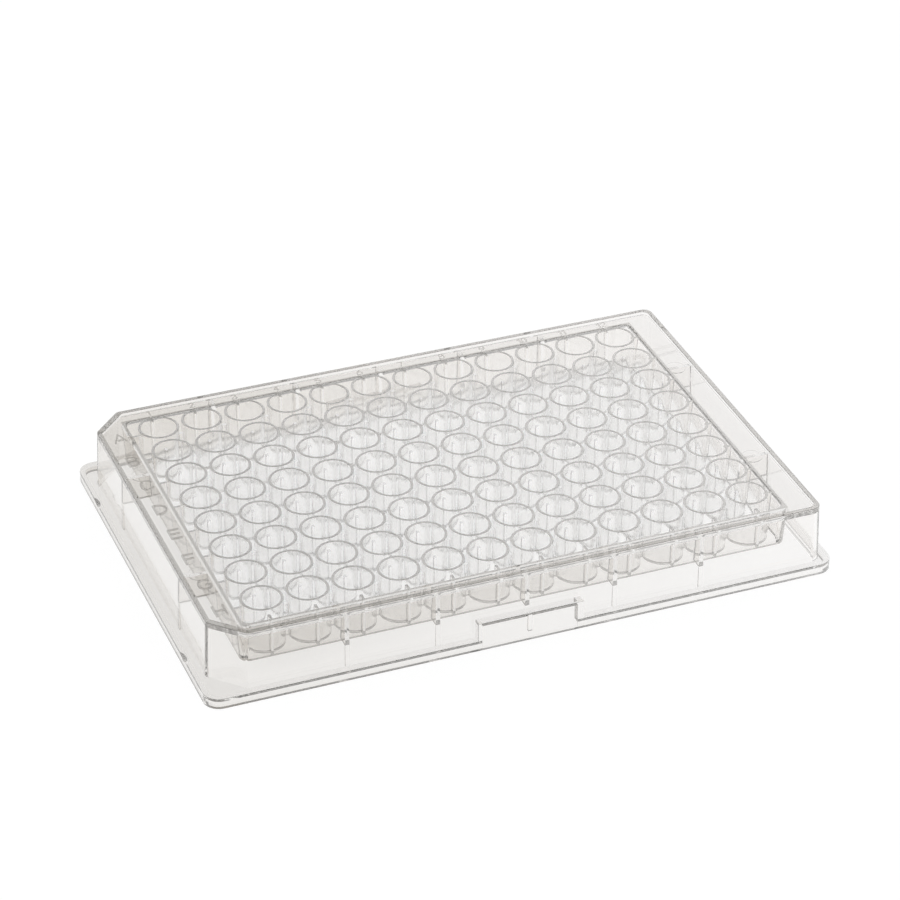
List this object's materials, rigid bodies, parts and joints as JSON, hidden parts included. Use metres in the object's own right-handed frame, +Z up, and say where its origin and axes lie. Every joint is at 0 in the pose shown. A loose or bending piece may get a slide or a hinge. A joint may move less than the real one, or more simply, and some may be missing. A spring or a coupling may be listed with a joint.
{
  "type": "well plate",
  "caption": "Clear shallow well plate with a grid of round flat-bottomed wells, row letters, column numbers, a stepped skirt and two cut corners.",
  "frame": {"origin": "middle of the footprint, at the lower edge of the foot, where the plate stands on the bench", "axes": "+X along the columns from the first to the last, +Y along the rows towards row A, +Z up out of the wells"},
  "size_m": [0.1278, 0.0854, 0.0146],
  "materials": {
    "clear_polystyrene": "polished moulded surface"
  },
  "bodies": {
    "root": {"well_plate": "clear_polystyrene"}
  },
  "joints": []
}
